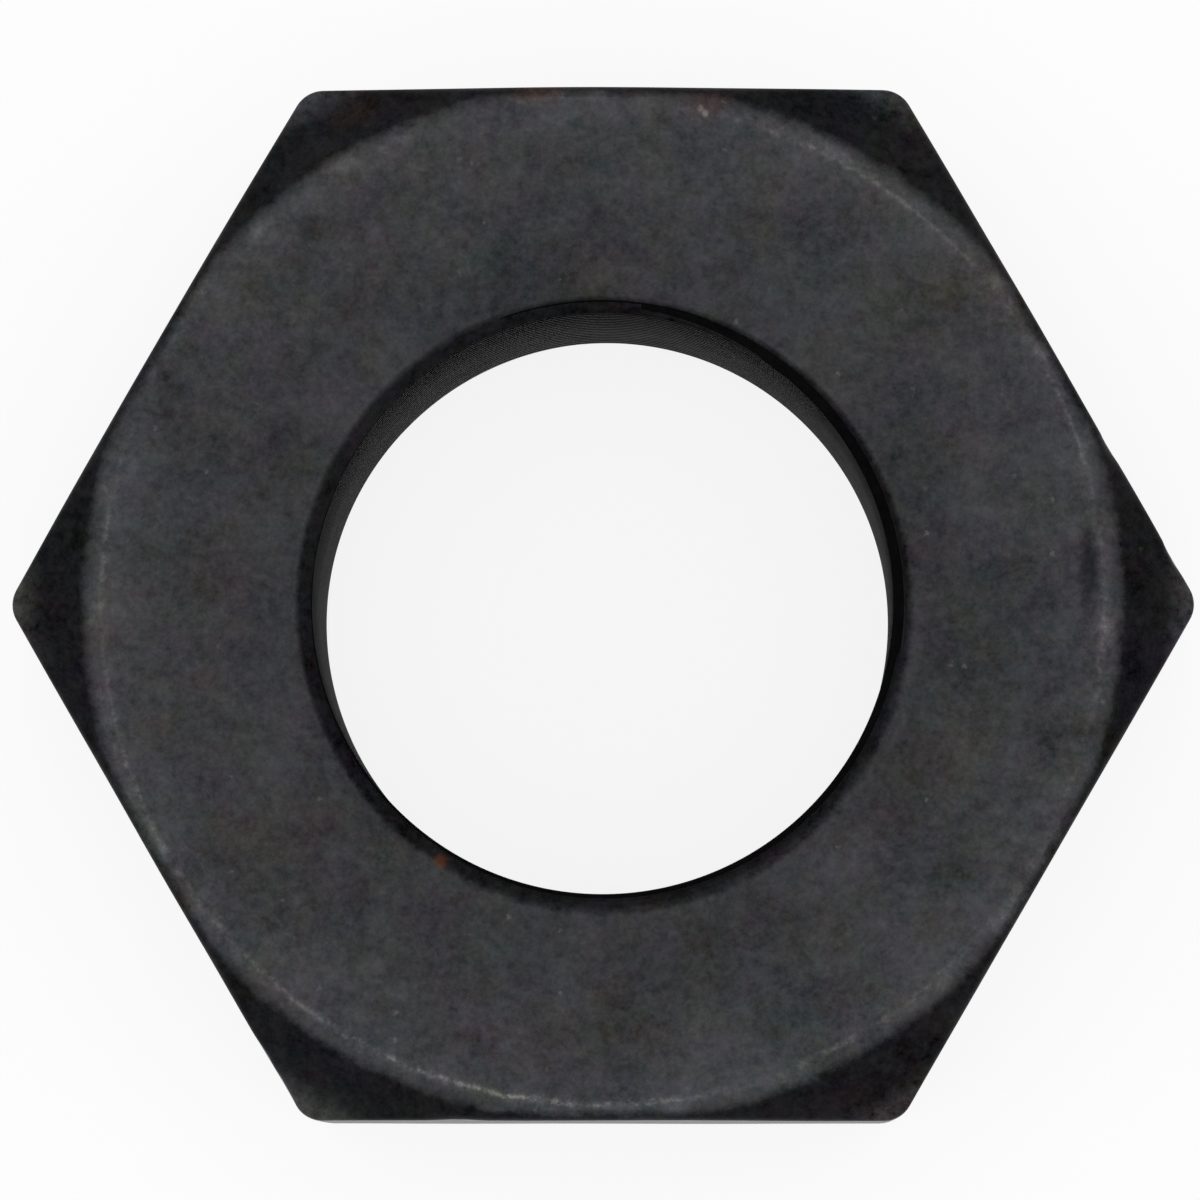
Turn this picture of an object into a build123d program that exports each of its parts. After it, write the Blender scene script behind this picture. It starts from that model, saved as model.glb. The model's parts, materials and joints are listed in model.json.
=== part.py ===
from build123d import *

import os
from math import cos, pi, radians, tan

# A heavy-series hexagon nut, M24 x 1, 41 mm across flats and 20 mm tall.
#
# The nut is one piece of steel. It lies on one bearing face, with its thread axis on +Z and the
# origin at the centre of the lower face. Two of its corners point along +X and -X, so that two of
# its flats face +Y and -Y.
#
# The body starts as a length of hexagon bar. Each end is turned to a 30 degree cone, which leaves a
# round bearing face inside the hexagon and a curved (hyperbolic) edge on every flat. The bore is the
# core hole of the thread, opened at both ends by a countersink that reaches past the thread.

# ---- Driving dimensions, in millimetres and degrees ----------------------------------------

# Hexagon
SIDES = 6
across_flats = 41.0  # spanner size of the heavy series for a 24 mm thread
nut_height = 20.0
corner_radius = 1.2  # rounding of the six upright corners

# Turned ends
chamfer_angle = 30.0  # between the cone and the bearing face
chamfer_inset = 0.16  # how far inside the flats the cone and the face would meet in a sharp edge
rim_radius = 1.5  # rolled edge between the bearing face and the cone

# Thread
thread_diameter = 24.0
thread_pitch = 1.0
core_allowance = 0.12  # how far the core hole is opened past the basic minor diameter (6H: 0 to 0.24)

# Countersinks
countersink_margin = 0.125  # how far a countersink's mouth reaches past the thread, all round
countersink_angle = 90.0  # full angle of its cone

# ---- Sizes that follow from them -----------------------------------------------------------

MINOR_PER_PITCH = 1.0825  # basic minor diameter = nominal diameter - 1.0825 x pitch (ISO metric)

flat_distance = across_flats / 2  # from the axis to a flat
corner_distance = flat_distance / cos(pi / SIDES)  # from the axis to a corner before rounding
cone_start = flat_distance - chamfer_inset  # radius at which the cone meets the face
cone_drop = (corner_distance - cone_start) * tan(radians(chamfer_angle))

core_radius = (thread_diameter - MINOR_PER_PITCH * thread_pitch + core_allowance) / 2
mouth_radius = thread_diameter / 2 + countersink_margin


def hexagon_section():
    """The bar's section: a hexagon with two corners on the X axis and every corner rounded."""
    with BuildSketch(Plane.XY) as section:
        RegularPolygon(radius=flat_distance, side_count=SIDES, major_radius=False)
        fillet(section.vertices(), corner_radius)
    return section.sketch


def turned_outline():
    """Half of the turned blank's outline: face, rolled rim, cone, and the same back to the axis."""
    with BuildSketch(Plane.XZ) as outline:
        with BuildLine():
            Polyline(
                (0, 0),
                (cone_start, 0),
                (corner_distance, cone_drop),
                (corner_distance, nut_height - cone_drop),
                (cone_start, nut_height),
                (0, nut_height),
                close=True,
            )
        make_face()
        # From the axis outwards the corners come in pairs: on the axis, on the rims, on the cones.
        on_the_rims = outline.vertices().group_by(Axis.X)[1]
        fillet(on_the_rims, rim_radius)
    return outline.sketch


def end_planes():
    """The planes of the two bearing faces, with their normals pointing out of the nut."""
    upper = Plane.XY.offset(nut_height)
    lower = Plane(origin=(0, 0, 0), z_dir=(0, 0, -1))
    return upper, lower


with BuildPart() as hex_nut:
    # The bar, cut to length.
    add(hexagon_section())
    extrude(amount=nut_height)

    # Both ends are turned at once: only what lies inside the turned outline stays.
    add(turned_outline())
    revolve(axis=Axis.Z, mode=Mode.INTERSECT)

    # The core hole, with a countersink at each end.
    for end in end_planes():
        with Locations(end):
            CounterSinkHole(
                radius=core_radius,
                counter_sink_radius=mouth_radius,
                counter_sink_angle=countersink_angle,
            )

hex_nut.part.label = "hex_nut"

os.makedirs("parts", exist_ok=True)
export_step(hex_nut.part, "parts/hex_nut.step")

across_corners = 2 * (corner_distance - corner_radius * (1 / cos(pi / SIDES) - 1))
countersink_depth = (mouth_radius - core_radius) / tan(radians(countersink_angle / 2))
face_radius = cone_start - rim_radius * tan(radians(chamfer_angle / 2))
print(f"across corners {across_corners:.3f} mm, core hole radius {core_radius:.4f} mm")
print(f"core hole length {nut_height - 2 * countersink_depth:.3f} mm between the countersinks")
print(f"bearing face from radius {mouth_radius:.3f} to {face_radius:.3f} mm")
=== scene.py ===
# %% [markdown]
# # A hexagon nut with a black oxide finish
# The nut is one piece of steel. This lesson dresses it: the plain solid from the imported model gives
# the sizes, and a finer mesh with a real thread and rounded edges takes its place. Everything is in
# metres, with Z along the thread's axis and the nut lying on its lower bearing face at z = 0.
#
# Loading the frame comes first, because each size below is read from it.

# %% Load the frame
import json
from math import atan, cos, pi, radians, sin, sqrt, tan

import bpy
import numpy as np
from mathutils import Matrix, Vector


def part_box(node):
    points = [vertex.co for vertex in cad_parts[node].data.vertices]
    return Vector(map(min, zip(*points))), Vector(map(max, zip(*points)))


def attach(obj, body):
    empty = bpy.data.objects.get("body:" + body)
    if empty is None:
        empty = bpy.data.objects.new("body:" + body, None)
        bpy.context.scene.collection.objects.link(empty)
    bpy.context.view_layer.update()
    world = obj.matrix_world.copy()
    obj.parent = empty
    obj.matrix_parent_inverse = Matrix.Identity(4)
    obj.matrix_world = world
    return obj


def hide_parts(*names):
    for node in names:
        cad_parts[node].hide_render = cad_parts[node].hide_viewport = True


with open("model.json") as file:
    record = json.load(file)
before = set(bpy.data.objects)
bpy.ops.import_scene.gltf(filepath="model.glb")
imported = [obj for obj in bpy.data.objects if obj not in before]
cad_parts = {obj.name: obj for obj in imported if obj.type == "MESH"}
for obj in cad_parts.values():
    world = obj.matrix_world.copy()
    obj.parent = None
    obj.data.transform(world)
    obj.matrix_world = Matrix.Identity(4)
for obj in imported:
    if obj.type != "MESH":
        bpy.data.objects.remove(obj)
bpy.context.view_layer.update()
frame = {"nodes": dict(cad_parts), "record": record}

MM = 0.001

# %% [markdown]
# ## Sizes
# A nut is described by very few numbers: the width across flats, the height, the thread and the
# chamfers. The first three come from the solid's box and from its thread mount. The rounding of the
# upright corners isn't stored anywhere, but it is what makes the width across corners smaller than
# that of a sharp hexagon, so it can be worked out from the two widths.

# %% Sizes read from the solid
low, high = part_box("hex_nut")
height = high.z - low.z
flat_distance = high.y
sharp_corner = flat_distance / cos(pi / 6)
corner_radius = (sharp_corner - high.x) / (1 / cos(pi / 6) - 1)

thread = next(m for m in frame["record"]["mounts"] if m["name"] == "thread")
core_radius = thread["dims"]["r_mm"] * MM
mouth_radius = core_radius + (height - thread["dims"]["length_mm"] * MM) / 2

solid = np.array([v.co for v in frame["nodes"]["hex_nut"].data.vertices])
on_upper_face = solid[solid[:, 2] > high.z - 1e-6 * height]
face_radius = np.hypot(on_upper_face[:, 0], on_upper_face[:, 1]).max()
print(f"corner radius {corner_radius / MM:.3f}, mouth {mouth_radius / MM:.3f}, "
      f"bearing face {face_radius / MM:.3f} mm")

# %% [markdown]
# ## The outline seen from above
# Seen from above the nut is a hexagon with rounded corners. For a mesh built of rings, the useful
# form of that outline is its distance from the axis as a function of the angle. On a flat this is
# the flat's distance divided by the cosine of the angle from the middle of the flat. On a rounded
# corner it is where a ray from the axis leaves the corner's circle.
#
# The columns of the mesh stand at these angles. They are close together on the corners, where the
# outline bends by 60 degrees within a millimetre, and wider on the flats.

# %% The hexagon as a function of the angle
FLAT_COLUMNS, CORNER_COLUMNS = 46, 8
SIDES = 6
SECTOR = 2 * pi / SIDES
corner_centre = (flat_distance - corner_radius) / cos(SECTOR / 2)
flat_reach = atan((flat_distance - corner_radius) * tan(SECTOR / 2) / flat_distance)


def hexagon_radius(angle):
    """Distance from the axis to the outline: flat distance / cos(angle from the flat's middle), or
    on a corner c cos(d) + sqrt(r^2 - (c sin(d))^2), with c the distance of the corner's circle, r its
    radius and d the angle from the corner."""
    from_flat = np.abs(angle % SECTOR - SECTOR / 2)
    from_corner = np.minimum(SECTOR / 2 - from_flat, SECTOR / 2 - flat_reach)
    straight = flat_distance / np.cos(from_flat)
    offset = corner_centre * np.sin(from_corner)
    rounded = corner_centre * np.cos(from_corner) + np.sqrt(corner_radius**2 - offset**2)
    return np.where(from_flat < flat_reach, straight, rounded)


on_flat = np.linspace(-flat_reach, flat_reach, FLAT_COLUMNS, endpoint=False)
on_corner = np.linspace(flat_reach, SECTOR - flat_reach, CORNER_COLUMNS, endpoint=False)
one_sector = SECTOR / 2 + np.concatenate([on_flat, on_corner])
angles = (one_sector + SECTOR * np.arange(SIDES)[:, None]).ravel()
outline = hexagon_radius(angles)
columns = len(angles)
print(columns, "columns, outline from", round(outline.min() / MM, 3),
      "to", round(outline.max() / MM, 3), "mm")

# %% [markdown]
# ## The turned ends
# Each end of the bar is turned in a lathe: a flat bearing face, a rolled rim, and a cone that falls
# away at 30 degrees and leaves the hexagon's corners below the face. Where the cone meets the flats
# the edge is a hyperbola. A Boolean could cut it, but it would leave long thin faces that shade badly.
# Here the curve comes by itself: the rows of the mesh run from the face out to the outline, and their
# depth follows from their distance from the axis.
#
# Real edges are never sharp, and a sharp edge catches no light. So the edge of the mouth and the
# outer edge are rounded by a few rows on a quadratic curve, whose middle point is the sharp corner.

# %% Rows of a turned end
RIM_RADIUS = 1.5 * MM
CHAMFER = radians(30)
MOUTH_ROUNDING = 0.11 * MM
EDGE_ROUNDING_ON_FLATS = 0.42 * MM
EDGE_ROUNDING_ON_CORNERS = 0.14 * MM
FACE_ROWS, RIM_ROWS, ROUNDING_ROWS = 13, 16, 5
rim_reach = face_radius + RIM_RADIUS * sin(CHAMFER)


def depth_below_face(radius):
    """How far the turned end lies below the bearing face: 0 on the face, then a circle of the rim's
    radius up to 30 degrees, then a straight cone."""
    on_rim = np.clip(radius - face_radius, 0, RIM_RADIUS * sin(CHAMFER))
    rim = RIM_RADIUS - np.sqrt(RIM_RADIUS**2 - on_rim**2)
    return rim + np.maximum(radius - rim_reach, 0) * tan(CHAMFER)


def rounded_corner(start, corner, end, rows):
    """Points on the quadratic curve (1-t)^2 start + 2t(1-t) corner + t^2 end, both ends included."""
    t = np.linspace(0, 1, rows)[:, None]
    return [(1 - t) ** 2 * a + 2 * t * (1 - t) * b + t**2 * c
            for a, b, c in zip(start, corner, end)]


def end_rows():
    """Radius and depth of each row and column of a turned end, from the mouth to the first row of
    the flats. Depth is measured from the bearing face into the nut."""
    flat = np.ones(columns)
    mouth = rounded_corner(
        ((mouth_radius - MOUTH_ROUNDING) * flat, MOUTH_ROUNDING * flat),
        (mouth_radius * flat, 0 * flat),
        ((mouth_radius + MOUTH_ROUNDING) * flat, 0 * flat),
        ROUNDING_ROWS,
    )
    share = 0.5 - 0.5 * np.cos(pi * np.linspace(0, 1, FACE_ROWS + 1)[1:, None])
    face = mouth_radius + MOUTH_ROUNDING + share * (face_radius - mouth_radius - MOUTH_ROUNDING)
    face = face * flat
    towards_corner = (outline - flat_distance) / (outline.max() - flat_distance)
    rounding = EDGE_ROUNDING_ON_FLATS + towards_corner * (
        EDGE_ROUNDING_ON_CORNERS - EDGE_ROUNDING_ON_FLATS)
    rim_end = outline - rounding
    share = np.linspace(0, 1, RIM_ROWS + 1)[1:, None]
    rim = face_radius + share * (rim_end - face_radius)
    edge = rounded_corner(
        (rim_end, depth_below_face(rim_end)),
        (outline, depth_below_face(outline)),
        (outline, depth_below_face(outline) + rounding),
        ROUNDING_ROWS,
    )
    radius = np.vstack([mouth[0], face, rim, edge[0][1:]])
    depth = np.vstack([mouth[1], depth_below_face(face), depth_below_face(rim), edge[1][1:]])
    return radius, depth


end_radius, end_depth = end_rows()
print(len(end_radius), "rows on each end")

# %% [markdown]
# ## The outside as one grid
# The outside is one grid of rows and columns: the upper end from its mouth outwards, the flats
# downwards, and the lower end from outside back to its mouth. The lower end is the upper one
# mirrored, so its rows are the same ones in reverse order.

# %% Outside grid
FLANK_ROWS = 36

share = np.linspace(0, 1, FLANK_ROWS + 2)[1:-1, None]
flank_depth = end_depth[-1] + share * (height - 2 * end_depth[-1])
outside_radius = np.vstack([end_radius, outline + 0 * flank_depth, end_radius[::-1]])
outside_z = np.vstack([height - end_depth, height - flank_depth, end_depth[::-1]])
print("outside grid:", outside_radius.shape)

# %% [markdown]
# ## The thread
# A metric thread has a 60 degree profile: a flat crest at the core hole's radius, two straight
# flanks and a narrow flat root at the nominal radius. A ring-shaped mesh would cut across that
# profile and turn it into steps. Instead each row of this grid follows the helix: it rises by one
# pitch in one turn, and after the turn it joins the row that lies one pitch further on. Each row
# then stays on its own line of the profile, so that crests and roots come out sharp.
#
# The countersinks cut the thread away at both ends. The wall is simply the larger of two radii, the
# thread's and the countersink's, and where they cross the nearest row is moved onto the crossing.
# That gives the crescent where the first turn runs out.

# %% Rows of the thread
PITCH = 1.0 * MM
COUNTERSINK_MARGIN = 0.125 * MM
ROOT_FLAT = PITCH / 8
CREST_EASING = 0.03 * MM
FLANK_SLOPE = tan(radians(30))
thread_radius = mouth_radius - COUNTERSINK_MARGIN
crest_half = (PITCH - ROOT_FLAT - 2 * (thread_radius - core_radius) * FLANK_SLOPE) / 2
root_half = ROOT_FLAT / 2
eased = CREST_EASING / FLANK_SLOPE
profile_place = np.array([
    CREST_EASING - crest_half,
    crest_half - CREST_EASING,
    crest_half + CREST_EASING,
    PITCH / 2 - root_half - CREST_EASING,
    PITCH / 2 - root_half + CREST_EASING,
    PITCH / 2 + root_half - CREST_EASING,
    PITCH / 2 + root_half + CREST_EASING,
    PITCH - crest_half - CREST_EASING,
])
profile_radius = np.array([
    core_radius, core_radius, core_radius + eased, thread_radius - eased,
    thread_radius, thread_radius, thread_radius - eased, core_radius + eased,
])
bottom, top = MOUTH_ROUNDING, height - MOUTH_ROUNDING
turns = int((top - bottom) / PITCH) + 5
per_turn = len(profile_place)
start = bottom - 2 * PITCH
row_z = (start + PITCH * np.arange(turns)[:, None] + profile_place).ravel()
thread_z = row_z[:, None] + PITCH * (angles - angles[0]) / (2 * pi)
helix_radius = np.tile(profile_radius, turns)[:, None] + 0 * thread_z


def countersink_radius(z):
    """The larger of the two 90 degree cones: the mouth's radius less the depth below either face."""
    return mouth_radius - np.minimum(z, height - z)


def moved_to_crossing(z, gap, inside):
    """Heights of the rows, with the last row on each side of a crossing moved onto it. The gap is
    the thread's radius less the countersink's; it is taken to change evenly between two rows. Where
    it doesn't change there is no crossing, and any divisor but 0 will do."""
    z = z.copy()
    moved = np.zeros(z.shape, bool)
    both = inside[:-1] & inside[1:]
    change = np.where(gap[:-1] == gap[1:], MM, gap[:-1] - gap[1:])
    crossing = z[:-1] + (z[1:] - z[:-1]) * gap[:-1] / change
    rising = both & (gap[:-1] < 0) & (gap[1:] > 0)
    falling = both & (gap[:-1] > 0) & (gap[1:] < 0)
    z[:-1][rising] = crossing[rising]
    z[1:][falling] = crossing[falling]
    moved[:-1] |= rising
    moved[1:] |= falling
    return z, moved


inside = (thread_z > bottom) & (thread_z < top)
gap = np.where(inside, helix_radius - countersink_radius(thread_z), -MM)
thread_z, moved = moved_to_crossing(thread_z, gap, inside)
cone_radius = countersink_radius(thread_z)
wall_radius = np.where(moved, cone_radius, np.maximum(helix_radius, cone_radius))
print("thread grid:", thread_z.shape, "with", int(inside.sum()), "points on the wall")

# %% [markdown]
# ## Joining the two grids
# Both grids become one closed skin. Rows of the thread that would lie beyond a mouth are all given
# the number of the mouth's own point in that column, so the quads there shrink to triangles or to
# nothing, and the ones that vanish are left out. In the last column the thread's rows join the rows
# one pitch further on.

# %% Points and faces of the nut
outside_rows = len(outside_radius)
outside_number = np.arange(outside_rows * columns).reshape(outside_rows, columns)
thread_number = np.zeros(thread_z.shape, int)
thread_number[inside] = outside_number.size + np.arange(int(inside.sum()))
thread_number = np.where(thread_z <= bottom, outside_number[-1], thread_number)
thread_number = np.where(thread_z >= top, outside_number[0], thread_number)


def ring_quads(left, right):
    """Quads between neighbouring columns, given the point numbers on their left and right sides."""
    corners = (left[:-1], left[1:], right[1:], right[:-1])
    return np.stack([c.ravel() for c in corners], axis=1)


def next_column(grid):
    """The thread's grid shifted by one column. The last column meets the first one a turn on."""
    one_turn_on = np.minimum(np.arange(len(grid)) + per_turn, len(grid) - 1)
    shifted = np.roll(grid, -1, axis=1)
    shifted[:, -1] = grid[one_turn_on, 0]
    return shifted


outside_quads = ring_quads(outside_number, np.roll(outside_number, -1, axis=1))
thread_quads = ring_quads(thread_number, next_column(thread_number))

angle_grid = np.broadcast_to(angles, thread_z.shape)
ring_radius = np.concatenate([outside_radius.ravel(), wall_radius[inside]])
ring_angle = np.concatenate([np.tile(angles, outside_rows), angle_grid[inside]])
ring_z = np.concatenate([outside_z.ravel(), thread_z[inside]])
points = np.stack([ring_radius * np.cos(ring_angle), ring_radius * np.sin(ring_angle), ring_z], 1)
print(len(points), "points")

# %% [markdown]
# Quads that lost a side become triangles and quads that lost two are dropped. A quad's corner is
# lost where it has the same number as the next corner.

# %% Faces without collapsed corners
all_quads = np.vstack([outside_quads, thread_quads])
repeated = all_quads == np.roll(all_quads, -1, axis=1)
quad_source = np.flatnonzero(repeated.sum(axis=1) == 0)
triangle_source = np.flatnonzero(repeated.sum(axis=1) == 1)
kept_corners = ~repeated[triangle_source]
quads = all_quads[quad_source]
triangles = all_quads[triangle_source][kept_corners].reshape(-1, 3)
print(len(quads), "quads and", len(triangles), "triangles")

# %% [markdown]
# ## Slight unevenness
# A nut that was forged or drawn, tumbled and handled is never perfectly flat. Two small things are
# added to the mesh itself, so that they show in its outline too. One is a very low swell, a sum of
# sine waves in random directions with wavelengths of 4 to 15 mm. The other is a handful of dents on
# the upright corners and outer edges, each a bell-shaped push inwards. Both fade out across the cones
# and leave the bearing faces, on which the nut lies, and the thread as they are.

# %% Swell and dents
random = np.random.default_rng(24)
SWELL, WAVES, WAVELENGTHS_MM = 0.012 * MM, 14, (4, 15)
DENTS, DENT_WIDTHS_MM, DENT_DEPTHS_MM = 16, (0.35, 0.8), (0.05, 0.13)
EDGE_SHARE, LOWER_SHARE = 0.5, 0.4  # dents that lie off the corners, and those of them at the lower end
EDGE_SPREAD = 0.30  # how far from the corner they may lie, as a share of a sector
UPRIGHT_RANGE = (0.12, 0.88)  # where the others lie on the upright corners, as shares of the height
outside = slice(0, outside_number.size)


def swell(place):
    """Sum of sines sin(k . place + phase) over random directions k, scaled to about 1."""
    wavelength = random.uniform(*WAVELENGTHS_MM, WAVES) * MM
    direction = random.normal(size=(WAVES, 3))
    direction /= np.linalg.norm(direction, axis=1)[:, None]
    phase = random.uniform(0, 2 * pi, WAVES)
    wave = np.sin(place @ (2 * pi * direction / wavelength[:, None]).T + phase)
    return wave.sum(axis=1) / sqrt(WAVES)


def dent_places():
    """Places on the upright corners and on the outer edges of both ends, chosen at random."""
    corner = SECTOR * random.integers(0, SIDES, DENTS)
    along = random.uniform(-EDGE_SPREAD, EDGE_SPREAD, DENTS) * SECTOR
    along = along * (random.random(DENTS) < EDGE_SHARE)
    angle = corner + along
    reach = hexagon_radius(angle)
    edge = depth_below_face(reach)
    from_top = np.where(along == 0, random.uniform(*UPRIGHT_RANGE, DENTS) * height, edge)
    lower = (along != 0) & (random.random(DENTS) < LOWER_SHARE)
    from_top = np.where(lower, height - edge, from_top)
    return np.stack([reach * np.cos(angle), reach * np.sin(angle), height - from_top], axis=1)


outward = np.stack([np.cos(ring_angle), np.sin(ring_angle), 0 * ring_angle], axis=1)
push = np.zeros(len(points))
push[outside] = SWELL * swell(points[outside])
end_fade = np.clip((ring_radius - face_radius) / (flat_distance - face_radius), 0, 1)
push *= end_fade
places = dent_places()
widths = random.uniform(*DENT_WIDTHS_MM, DENTS) * MM
depths = random.uniform(*DENT_DEPTHS_MM, DENTS) * MM
for place, width, depth in zip(places, widths, depths):
    distance = np.linalg.norm(points - place, axis=1)
    push -= depth * np.exp(-((distance / width) ** 2)) * end_fade
points += push[:, None] * outward
print("pushed inwards by up to", round(-push.min() / MM, 3), "mm")

# %% [markdown]
# ## How far each point is from an edge
# Wear follows the edges: the oxide film is thin there and bright steel shows first on the rims, the
# upright corners and the crests of the thread. The shader needs to know where those are. A Bevel node
# could find them at render time, but it is slow and grainy, and the grids already know their edges.
# So each point gets its distance from the nearest edge as an attribute, in millimetres.

# %% Distance from the nearest edge
FAR_MM, ON_EDGE_MM = 2.0, 0.05
from_corner = SECTOR / 2 - np.abs(angles % SECTOR - SECTOR / 2)
tip_radius = outline.max()
to_corner = np.sqrt(outline**2 + tip_radius**2 - 2 * outline * tip_radius * np.cos(from_corner))
edge_depth = depth_below_face(outline)
end_distance = np.minimum(
    np.hypot(outline - end_radius, edge_depth - end_depth), np.abs(end_radius - mouth_radius))
flank_distance = np.minimum(
    np.minimum(flank_depth, height - flank_depth) - edge_depth, to_corner)
edge_distance = np.concatenate([
    end_distance.ravel(), flank_distance.ravel(), end_distance[::-1].ravel(),
    np.abs(wall_radius - core_radius)[inside]])
edge_distance = np.minimum(edge_distance / MM, FAR_MM)
print("points on an edge:", int((edge_distance < ON_EDGE_MM).sum()))

# %% [markdown]
# ## Making the mesh
# Each face gets one of three finishes: the turned ends with the countersinks, the six flats, and
# the thread. The normals are set one by one. Each point's normal is the sum of the normals of the faces
# around it, each weighted by its area, so a wide flat stays flat right up to its narrow rounding and
# only the rounding shades from one direction to the other. A Weighted Normal modifier would do much
# the same, but normals that are written with the mesh need no modifier.

# %% The nut's mesh
END, FLAT, THREAD = 0, 1, 2
outside_row = np.repeat(np.arange(outside_rows - 1), columns)
is_flank = (outside_row >= len(end_radius) - 1) & (outside_row <= len(end_radius) + FLANK_ROWS - 1)
both_sides = gap + next_column(gap)
on_cone = (both_sides[:-1] + both_sides[1:]).ravel() < 0
finish = np.concatenate([np.where(is_flank, FLAT, END), np.where(on_cone, END, THREAD)])


def area_normals(places, quads, triangles):
    """Unit sums of the face normals round each point, each face weighted by its area."""
    total = np.zeros_like(places)
    across = (places[quads[:, 2]] - places[quads[:, 0]], places[quads[:, 3]] - places[quads[:, 1]])
    quad_area = np.cross(*across)
    sides = (places[triangles[:, 1]] - places[triangles[:, 0]],
             places[triangles[:, 2]] - places[triangles[:, 0]])
    triangle_area = np.cross(*sides)
    for faces, area in ((quads, quad_area), (triangles, triangle_area)):
        for corner in faces.T:
            np.add.at(total, corner, area)
    return total / np.linalg.norm(total, axis=1)[:, None]


nut_mesh = bpy.data.meshes.new("hex_nut_finished")
nut_mesh.from_pydata(points.tolist(), [], quads.tolist() + triangles.tolist())
nut_mesh.polygons.foreach_set(
    "material_index", finish[np.concatenate([quad_source, triangle_source])].astype(np.int32))
nut_mesh.polygons.foreach_set("use_smooth", np.ones(len(nut_mesh.polygons), bool))
stored = nut_mesh.attributes.new("edge_distance", "FLOAT", "POINT")
stored.data.foreach_set("value", edge_distance.astype(np.float32))
nut_mesh.validate()
nut_mesh.normals_split_custom_set_from_vertices(area_normals(points, quads, triangles).tolist())
nut = bpy.data.objects.new("hex_nut_finished", nut_mesh)
bpy.context.scene.collection.objects.link(nut)
triangle_count = 2 * len(quads) + len(triangles)
print("the nut has", triangle_count, "triangles")

# %% [markdown]
# ## A flat layout of the skin
# A model that leaves Blender carries its colours in a picture, so every face needs a place of its own
# on a square sheet. An automatic unwrap would cut the thread into many small patches. The grids make
# it easy to do better: each end becomes a disc, each flat a strip with half a corner on either side,
# and the thread one long strip. Distances are measured along the surface, so that steep rows keep
# their width, and the upper end, which is seen most, gets the largest scale.

# %% Places on the sheet
SHEET = 1024
UPPER_CORNER, UPPER_SCALE = (3, 3), 12.0
LOWER_CORNER, LOWER_SCALE = (598, 3), 9.2
FLAT_CORNERS = ((770, 454), (770, 643), (770, 832), (3, 520), (257, 520), (511, 520))
FLAT_SCALE = 9.7
THREAD_CORNER, THREAD_SCALE = (3, 712), 9.3


def corner_places(left, right):
    """Places of each quad's corners, in the order that ring_quads gives them."""
    corners = (left[:-1], left[1:], right[1:], right[:-1])
    return np.stack([c.reshape(-1, 2) for c in corners], axis=1)


def on_sheet(places, corner, scale):
    """Moves a chart's lower left corner to its place, at this many of the sheet's 1024 parts per mm."""
    low = places.reshape(-1, 2).min(axis=0)
    return (corner + scale / MM * (places - low)) / SHEET


def disc_chart():
    """An end as a disc: the distance from the axis becomes the length along the profile, counted from
    the edge of the bearing face."""
    step = np.hypot(np.diff(end_radius, axis=0), np.diff(end_depth, axis=0))
    length = np.vstack([np.zeros((1, columns)), np.cumsum(step, axis=0)])
    spread = face_radius + length - length[ROUNDING_ROWS + FACE_ROWS - 1]
    return np.stack([spread * np.cos(angles), spread * np.sin(angles)], axis=2)


def flat_chart():
    """The flats as strips from corner to corner, each with its own place on the sheet."""
    per_side = FLAT_COLUMNS + CORNER_COLUMNS
    first_tip = FLAT_COLUMNS + CORNER_COLUMNS // 2
    rim = outline * np.array([np.cos(angles), np.sin(angles)])
    step = np.linalg.norm(np.roll(rim, -1, axis=1) - rim, axis=0)
    step = np.roll(step, -first_tip).reshape(SIDES, per_side)
    right = np.roll(np.cumsum(step, axis=1).ravel(), first_tip)
    left = np.roll((np.cumsum(step, axis=1) - step).ravel(), first_tip)
    z = outside_z[len(end_radius) - 1:len(end_radius) + FLANK_ROWS + 1]
    places = corner_places(np.stack([left + 0 * z, z], axis=2), np.stack([right + 0 * z, z], axis=2))
    corners = np.roll(np.repeat(np.array(FLAT_CORNERS), per_side, axis=0), first_tip, axis=0)
    return on_sheet(places, np.tile(corners, (len(z) - 1, 1))[:, None], FLAT_SCALE)


def thread_chart():
    """The thread as one strip: the angle across, and the length along the profile downwards."""
    radius = np.tile(profile_radius, turns)
    step = np.hypot(np.diff(row_z), np.diff(radius))
    down = -np.concatenate([[0], np.cumsum(step)])[:, None] + 0 * thread_z
    across = core_radius * (angles - angles[0])
    right = np.append(across[1:], 2 * pi * core_radius)
    return np.stack([across + 0 * down, down], axis=2), np.stack([right + 0 * down, down], axis=2)


disc = disc_chart()
upper_disc = corner_places(disc, np.roll(disc, -1, axis=1))
mirrored = disc[::-1, :, ::-1]
lower_disc = corner_places(mirrored, np.roll(mirrored, -1, axis=1))
thread_strip = corner_places(*thread_chart())
used = np.concatenate([quad_source, triangle_source]) - len(outside_quads)
thread_low = thread_strip[used[used >= 0]].reshape(-1, 2).min(axis=0)
sheet_places = np.vstack([
    on_sheet(upper_disc, UPPER_CORNER, UPPER_SCALE),
    flat_chart(),
    on_sheet(lower_disc, LOWER_CORNER, LOWER_SCALE),
    (THREAD_CORNER + THREAD_SCALE / MM * (thread_strip - thread_low)) / SHEET,
])
sheet_corners = np.vstack([
    sheet_places[quad_source].reshape(-1, 2), sheet_places[triangle_source][kept_corners]])
sheet = nut_mesh.uv_layers.new(name="OFBake")
sheet.uv.foreach_set("vector", sheet_corners.ravel().astype(np.float32))
print("sheet used from", sheet_corners.min(axis=0).round(3), "to", sheet_corners.max(axis=0).round(3))

# %% [markdown]
# ## Building a shader from code
# Every finish below is made of shader nodes. Small helpers keep that readable. The first adds a node
# and wires its inputs, and the others are that helper with a purpose: arithmetic on numbers and on
# vectors, a mask with soft edges, a mixture of two colours, a noise, a bell curve.

# %% Helpers for shader nodes


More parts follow.
